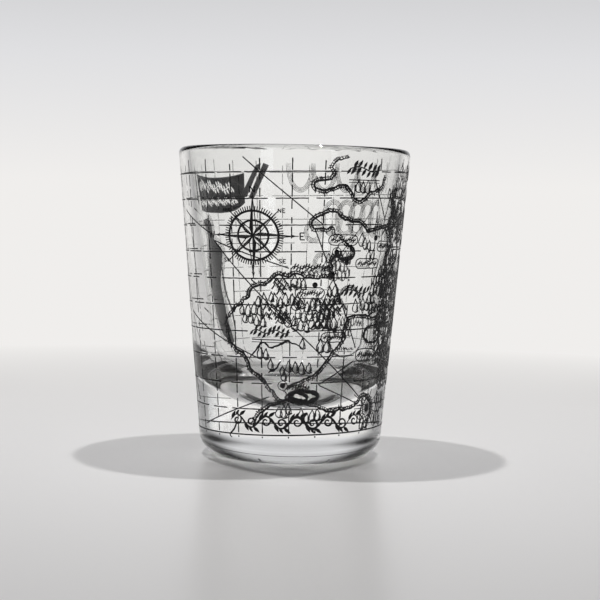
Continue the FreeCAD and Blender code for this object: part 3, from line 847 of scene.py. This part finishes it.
def draw_title_scroll(ink):
    """A running scroll above the border line: a waving stem, a spiral in each wave, and slanted leaves."""
    centre = (TITLE_FROM + TITLE_TO) / 2
    start = to_plane(centre, (TITLE_FROM, TITLE_HEIGHT))[0]
    end = to_plane(centre, (TITLE_TO, TITLE_HEIGHT))[0]
    pitch = (end - start) / SCROLL_WAVES

    def on_stem(waves):
        return (start + pitch * waves, TITLE_HEIGHT + SCROLL_HEIGHT * math.sin(math.pi * waves))

    stem = [on_stem(step / 12) for step in range(12 * SCROLL_WAVES + 1)]
    shapes = stroke(stem, 0.5, ends=0.3, uneven=0.6)
    for wave in range(SCROLL_WAVES):
        side = 1 if wave % 2 == 0 else -1
        crest = on_stem(wave + 0.5)
        spiral = [(crest[0] + x, crest[1] - side * y) for x, y in curl(1.2, 1.08)]
        shapes += stroke(spiral, 0.36, ends=0.5, uneven=0.4)
        for place, turn, reach in ((0.05, 62, 2.0), (0.36, 50, 1.4), (0.66, 38, 1.8)):
            shapes.append(leaf(on_stem(wave + place), side * turn, reach, 0.19))
    tail = smooth([(start + 1.6, 9.3), (start + 0.9, 7.4), (start - 0.2, 6.1), (start + 0.3, 5.5)], 0.3)
    ink.add(centre, shapes + stroke(tail, 0.36, ends=0.4))


# ------ atoll and ribbon

# Ringed shoals as (longitude, height, half width, half tallness, pen width).
RINGS = [
    (7.6, 14.4, 2.7, 1.05, 0.95), (50, 26.4, 2.4, 1.75, 0.55), (3, 14.2, 2, 0.9, 0.5),
    (57, 29.5, 1.6, 1.3, 0.45), (61, 26.2, 1.5, 2.2, 0.45), (66, 30, 1.5, 1.6, 0.4),
]


def draw_atoll(ink):
    for number, (longitude, height, across, up, width) in enumerate(RINGS):
        ring = [(across * x, height + up * y) for x, y in circle((0, 0), 1.0, 60)]
        shapes = stroke(shaky(ring, 0.22, 50 + number), width, closed=True, uneven=0.8)
        for x, y in ring[::2]:
            shapes += stroke([(x, y), (x * 1.2 + 0.1, height + (y - height) * 1.45)], 0.15)
        ink.add(longitude, shapes)


BANNER_LONGITUDE = -125
BANNER_TOP = [
    (-99, 57.3), (-105, 57), (-111.3, 56.8), (-118, 56.6), (-126, 56.6), (-134, 56.8), (-141.5, 57.2),
    (-149.4, 57.9),
]
BANNER_BOTTOM = [
    (-149.2, 51.3), (-144.5, 50.1), (-139, 49.4), (-131, 49.1), (-123.8, 49.1), (-113, 49.2),
    (-103, 49.6),
]
BANNER_FOLDS = [
    [(-157.3, 59.8), (-160.6, 60.2), (-150.6, 52.6), (-146.4, 52.8)],
    [(-161.8, 60.3), (-165.2, 59.8), (-155.4, 52.3), (-151.8, 52.4)],
    [(-93, 59), (-94, 51.4), (-98, 50.6), (-96.4, 58.2)],
]


def draw_ribbon_banner(ink):
    """A dark ribbon on the back with two clear sprigs of leaves, and a fold at each end."""
    centre = BANNER_LONGITUDE
    top = smooth([to_plane(centre, point) for point in BANNER_TOP], 0.6)
    bottom = smooth([to_plane(centre, point) for point in BANNER_BOTTOM], 0.6)
    clear = [turned(shape, 2, (1.2, 54.6)) for shape in sprig(15, 1.25)]
    clear += [turned(shape, -2, (0.6, 51.4)) for shape in sprig(16, 0.85)]
    ink.add(centre, [top + bottom], clear, spread=True)
    for fold in BANNER_FOLDS:
        ink.add(centre, [[to_plane(centre, point) for point in fold]], spread=True)


STREAMER_LEFT = [
    (-101.8, 47.6), (-106, 46), (-109, 43.8), (-107, 41.3), (-104, 38.2), (-103.5, 34), (-107, 30.7),
    (-112, 26.8), (-119, 23.1), (-131, 20.6),
]
STREAMER_RIGHT = [
    (-112, 48), (-116.5, 46.8), (-118.4, 43.7), (-127, 41.2), (-125.5, 38), (-122.3, 34.1),
    (-124.3, 30.5), (-127.5, 26.6), (-131.4, 23), (-132.8, 21),
]
STREAMER_CORD = [(-124.5, 38.6), (-127.6, 32.1), (-132.8, 28.2), (-135.4, 23)]


def draw_ribbon_streamer(ink):
    """The dark tail of the ribbon, which hangs down and narrows, with fine lines and a cord beside it."""
    centre = BANNER_LONGITUDE
    left, right, cord = [smooth([to_plane(centre, point) for point in points], 0.5)
                         for points in (STREAMER_LEFT, STREAMER_RIGHT, STREAMER_CORD)]
    shapes = [left + right[::-1]]
    for distance in (0.34, 0.7, 1.1):
        shapes += stroke(beside(left, distance), 0.15) + stroke(beside(right, -distance), 0.12)
    ink.add(centre, shapes, spread=True)
    ink.add(centre, stroke(cord, 0.6, ends=0.4, uneven=0.3))


# Swags and hoops on the back as (longitude, height, half width, half tallness, share of a whole turn).
CHAIN_LENGTH = 5
SWAG_STEP = 14.5
HOOP_STEP = 9.0
GARLANDS = [(176.4 - SWAG_STEP * place, 60.4, 3.0, 6.0, 0.5) for place in range(CHAIN_LENGTH)]
GARLANDS += [(155.4 - HOOP_STEP * place, 48.4, 2.4, 3.5, 1.0) for place in range(CHAIN_LENGTH)]
GARLANDS += [(167.6, 45.3, 1.8, 1.9, 1.0), (160, 38.6, 2.2, 1.9, 1.0)]


def draw_garlands(ink):
    """Broad soft lines, each made of fine lines side by side."""
    for longitude, height, across, up, turn in GARLANDS:
        path = []
        for step in range(33):
            angle = math.pi + 2 * math.pi * turn * step / 32
            path.append((across * math.cos(angle), height + up * math.sin(angle)))
        shapes = []
        for number in range(4):
            shapes += stroke(beside(path, 0.3 * (number - 1.5)), 0.13, ends=0.5, uneven=0.4)
        ink.add(longitude, shapes)


# ------ materials

NOISE_SPAN = (0.35, 0.65)  # the middle of the noise's range, which is stretched out
ENAMEL_DARK = (0.004, 0.004, 0.005, 1)
ENAMEL_PALE = (0.014, 0.014, 0.016, 1)


def feed(tree, socket, source):
    """Give an input a plain value, or link another node's output to it."""
    if isinstance(source, bpy.types.NodeSocket):
        tree.links.new(source, socket)
    else:
        socket.default_value = source


def add_node(tree, kind, inputs, **settings):
    """A shader node with its settings, and with its inputs fed."""
    node = tree.nodes.new("ShaderNode" + kind)
    for name, value in settings.items():
        setattr(node, name, value)
    for place, source in inputs.items():
        feed(tree, node.inputs[place], source)
    return node


def new_material(name, colour, values):
    """A material, its node tree, and its main shader with a colour and other values set."""
    material = bpy.data.materials.new(name)
    material.use_nodes = True
    shader = material.node_tree.nodes["Principled BSDF"]
    shader.inputs["Base Color"].default_value = colour
    for place, value in values.items():
        shader.inputs[place].default_value = value
    return material, material.node_tree, shader


def noise_value(tree, scale, detail):
    """Noise in object space."""
    place = add_node(tree, "TexCoord", {})
    inputs = {"Vector": place.outputs["Object"], "Scale": scale, "Detail": detail}
    return add_node(tree, "TexNoise", inputs).outputs["Fac"]


def map_range(tree, value, span, results=(0, 1), kind="LINEAR"):
    (start, end), (low, high) = span, results
    inputs = {"Value": value, "From Min": start, "From Max": end, "To Min": low, "To Max": high}
    return add_node(tree, "MapRange", inputs, interpolation_type=kind).outputs["Result"]


def ramp(tree, value, stops):
    """Colour by value: (value, colour or brightness), ..., of two stops or more."""
    node = add_node(tree, "ValToRGB", {"Fac": value})
    elements = node.color_ramp.elements
    for number, (position, level) in enumerate(stops):
        element = elements[number] if number < 2 else elements.new(position)
        element.position = position
        element.color = level if isinstance(level, tuple) else (level, level, level * 1.02, 1)
    return node.outputs["Color"]


def add_bump(tree, shader, height, strength, distance):
    inputs = {"Height": height, "Strength": strength, "Distance": distance}
    feed(tree, shader.inputs["Normal"], add_node(tree, "Bump", inputs).outputs["Normal"])


def glass_material():
    """Clear soda-lime glass with faint flow marks from the press."""
    values = {"Transmission Weight": 1.0, "IOR": 1.5, "Roughness": 0.03}
    material, tree, shader = new_material("clear_pressed_glass", (0.975, 0.98, 0.975, 1), values)
    add_bump(tree, shader, noise_value(tree, 90, 2), 0.02, 0.0005)
    return material


def enamel_material():
    """Black screen-printed enamel: glossy, with the faint mottling of fired ink."""
    material, tree, shader = new_material("black_enamel_gloss", ENAMEL_DARK, {"Specular IOR Level": 0.3})
    gloss = map_range(tree, noise_value(tree, 2200, 3), NOISE_SPAN, (0.32, 0.6), "SMOOTHSTEP")
    mottle = ramp(tree, noise_value(tree, 1400, 4), ((0.35, ENAMEL_DARK), (0.7, ENAMEL_PALE)))
    feed(tree, shader.inputs["Roughness"], gloss)
    feed(tree, shader.inputs["Base Color"], mottle)
    add_bump(tree, shader, noise_value(tree, 5000, 2), 0.25, 0.00002)
    return material


# ------ studio, in metres

# The world's colours. HORIZON and SIDE also colour the floor's painted glow and painted shade far away.
HORIZON = (0.87, 0.855, 0.84, 1)
SIDE = (0.2, 0.2, 0.203, 1)
SIDE_LEAN = 0.9  # how much sooner the dim sides begin higher up
SIDE_SPAN = (0.45, 0.9)  # how far to the side the dimming starts and ends
MIDDLE_SHADES = ((0.02, HORIZON), (0.1, 0.745), (0.14, 0.66), (0.3, 0.55), (1.0, 0.55))
SIDE_SHADES = ((0.0, SIDE), (0.1, 0.18), (0.2, 0.015), (0.9, 0.015), (1.0, 0.15))
FLOOR_RADIUS = 3.0
FLOOR_SIDES = 96
FADE_CENTRE = (0, -0.06, 0)
FADE_SPAN = (0.07, 0.32)  # distances over which the floor turns into a painted glow in the backdrop's colour
DIM_SPAN = (0.16, 0.4)  # distances over which the painted glow at the floor's sides darkens into painted shade
FIRST_COLOUR, SECOND_COLOUR, MIXED_COLOUR = 6, 7, 2  # colour sockets of a mix node


def to_the_side(tree, direction):
    """A direction's height, and how far it points to the left or the right and up, from 0 to 1."""
    split = add_node(tree, "SeparateXYZ", {"Vector": direction})
    away = add_node(tree, "Math", {0: split.outputs["X"]}, operation="ABSOLUTE")
    inputs = {0: split.outputs["Z"], 1: SIDE_LEAN, 2: away.outputs["Value"]}
    raised = add_node(tree, "Math", inputs, operation="MULTIPLY_ADD")
    return split.outputs["Z"], map_range(tree, raised.outputs["Value"], SIDE_SPAN, kind="SMOOTHSTEP")


def blend(tree, share, first, second):
    """Mix two colours; each is either a plain colour or a socket."""
    inputs = {"Factor": share, FIRST_COLOUR: first, SECOND_COLOUR: second}
    return add_node(tree, "Mix", inputs, data_type="RGBA").outputs[MIXED_COLOUR]


def floor_material():
    """Pale satin table that fades far away into a painted glow in the backdrop's colours, darker towards
    the sides as painted shade.
    """
    material, tree, shader = new_material("pale_floor", (0.685, 0.673, 0.666, 1), {"Roughness": 0.28})
    place = add_node(tree, "NewGeometry", {}).outputs["Position"]
    from_centre = add_node(tree, "VectorMath", {0: place, 1: FADE_CENTRE}, operation="DISTANCE")
    distance = from_centre.outputs["Value"]
    direction = add_node(tree, "VectorMath", {0: place}, operation="NORMALIZE")
    _, share = to_the_side(tree, direction.outputs["Vector"])
    far = map_range(tree, distance, DIM_SPAN)
    # painted shade: far off and towards the sides, the floor's glow takes the dim side colour
    painted_side_shade = add_node(tree, "Math", {0: far, 1: share}, operation="MULTIPLY")
    # painted glow: an emission in the backdrop's colours, which the floor turns into far away
    painted_backdrop_glow = add_node(tree, "Emission", {"Color": blend(tree, painted_side_shade.outputs["Value"], HORIZON, SIDE)})
    fade = map_range(tree, distance, FADE_SPAN)
    mix = add_node(tree, "MixShader", {0: fade, 1: shader.outputs["BSDF"], 2: painted_backdrop_glow.outputs["Emission"]})
    feed(tree, tree.nodes["Material Output"].inputs["Surface"], mix.outputs["Shader"])
    return material


def add_floor():
    rim = [(x, y, 0) for x, y in circle((0, 0), FLOOR_RADIUS, FLOOR_SIDES)]
    floor = add_mesh("floor", rim, [list(range(FLOOR_SIDES))], [False], floor_material())


def add_world():
    """Bright walls in front and behind, a pale band overhead between them, and dim sides."""
    world = bpy.data.worlds.new("studio")
    bpy.context.scene.world = world
    world.use_nodes = True
    tree = world.node_tree
    height, share = to_the_side(tree, add_node(tree, "TexCoord", {}).outputs["Generated"])
    middle, side = ramp(tree, height, MIDDLE_SHADES), ramp(tree, height, SIDE_SHADES)
    feed(tree, tree.nodes["Background"].inputs["Color"], blend(tree, share, middle, side))


LAMP_PLACES = {"lamp_left": (-0.055, 0.01, 0.3), "lamp_right": (0.055, 0.01, 0.3)}
LAMP_SIZE = 0.009
LAMP_POWER = 0.47
# Soft windows in front as (name, azimuth in degrees, height, width, tallness, power).
WINDOWS = (
    ("right_window", 31, 0.13, 0.15, 0.13, 0.14),
    ("left_window", -45, 0.12, 0.08, 0.12, 0.06),
)
WINDOW_DISTANCE = 0.6
WINDOW_TINT = (0.9, 0.95, 1.0)
WINDOW_AIM = (0, 0, 0.04)


def add_area_light(name, shape, place, aim, size, power):
    data = bpy.data.lights.new(name, "AREA")
    data.shape = shape
    data.size = size
    data.energy = power
    light = add_object(name, data)
    light.location = place
    light.rotation_euler = (light.location - Vector(aim)).to_track_quat("Z", "Y").to_euler()
    light.visible_camera = False
    return data


def add_lamps():
    """Two small lamps close overhead, which throw the two crossing shadows."""
    for name, place in LAMP_PLACES.items():
        add_area_light(name, "DISK", place, (0, 0, 0), LAMP_SIZE, LAMP_POWER)


def add_windows():
    """Cool rectangles of light that leave pale upright gleams on the glass."""
    for name, azimuth, height, width, tallness, power in WINDOWS:
        angle = math.radians(azimuth)
        place = (WINDOW_DISTANCE * math.sin(angle), -WINDOW_DISTANCE * math.cos(angle), height)
        data = add_area_light(name, "RECTANGLE", place, WINDOW_AIM, width, power)
        data.size_y = tallness
        data.color = WINDOW_TINT


CAMERA_PLACE = (0, -0.315, 0.0502)
CAMERA_YAW, CAMERA_PITCH, CAMERA_ROLL = 0.0051, 0.057, 0.017
CAMERA_LENS = 90.9


def add_camera():
    """A camera a little below the rim, tipped and rolled slightly, as the glass was seen."""
    yaw, pitch, roll = CAMERA_YAW, CAMERA_PITCH, CAMERA_ROLL
    forward = Vector((math.sin(yaw) * math.cos(pitch), math.cos(yaw) * math.cos(pitch), -math.sin(pitch)))
    level_right = Vector((math.cos(yaw), -math.sin(yaw), 0))
    level_up = level_right.cross(forward)
    right = level_right * math.cos(roll) + level_up * math.sin(roll)
    up = level_up * math.cos(roll) - level_right * math.sin(roll)
    data = bpy.data.cameras.new("camera")
    data.lens = CAMERA_LENS
    data.clip_start = 0.01
    camera = add_object("camera", data)
    turn = Matrix((right, up, -forward)).transposed().to_4x4()
    camera.matrix_world = Matrix.Translation(Vector(CAMERA_PLACE)) @ turn
    bpy.context.scene.camera = camera


def set_look():
    scene = bpy.context.scene
    scene.view_settings.view_transform = "Standard"
    scene.cycles.use_denoising = True
    scene.cycles.max_bounces = 24
    scene.cycles.transmission_bounces = 24
    scene.cycles.sample_clamp_indirect = 20


# ------ assembly

# Each draw_NAME makes the piece enamel_NAME for the CAD node print_NAME, apart from OTHER_NODES.
PRINTS = (
    draw_parallels, draw_meridians, draw_border_line, draw_compass_rings, draw_compass_ticks,
    draw_compass_needles, draw_compass_letters, draw_coastlines, draw_rhumb_lines, draw_rivers, draw_trees,
    draw_mountains, draw_town_marks, draw_name_sprigs, draw_title_scroll, draw_atoll, draw_ribbon_banner,
    draw_ribbon_streamer, draw_garlands,
)
OTHER_NODES = {"name_sprigs": "print_name_plates", "title_scroll": "print_title_ornament"}


def main():
    add_camera()
    glass = lathe("clear_glass_body", *glass_profiles(), glass_material())
    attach(glass, "root")
    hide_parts("glass_body")
    enamel = enamel_material()
    for draw in PRINTS:
        ink = Ink()
        draw(ink)
        name = draw.__name__.removeprefix("draw_")
        ink.finish("enamel_" + name, OTHER_NODES.get(name, "print_" + name), enamel)
    add_floor()
    add_world()
    add_lamps()
    add_windows()
    set_look()


main()
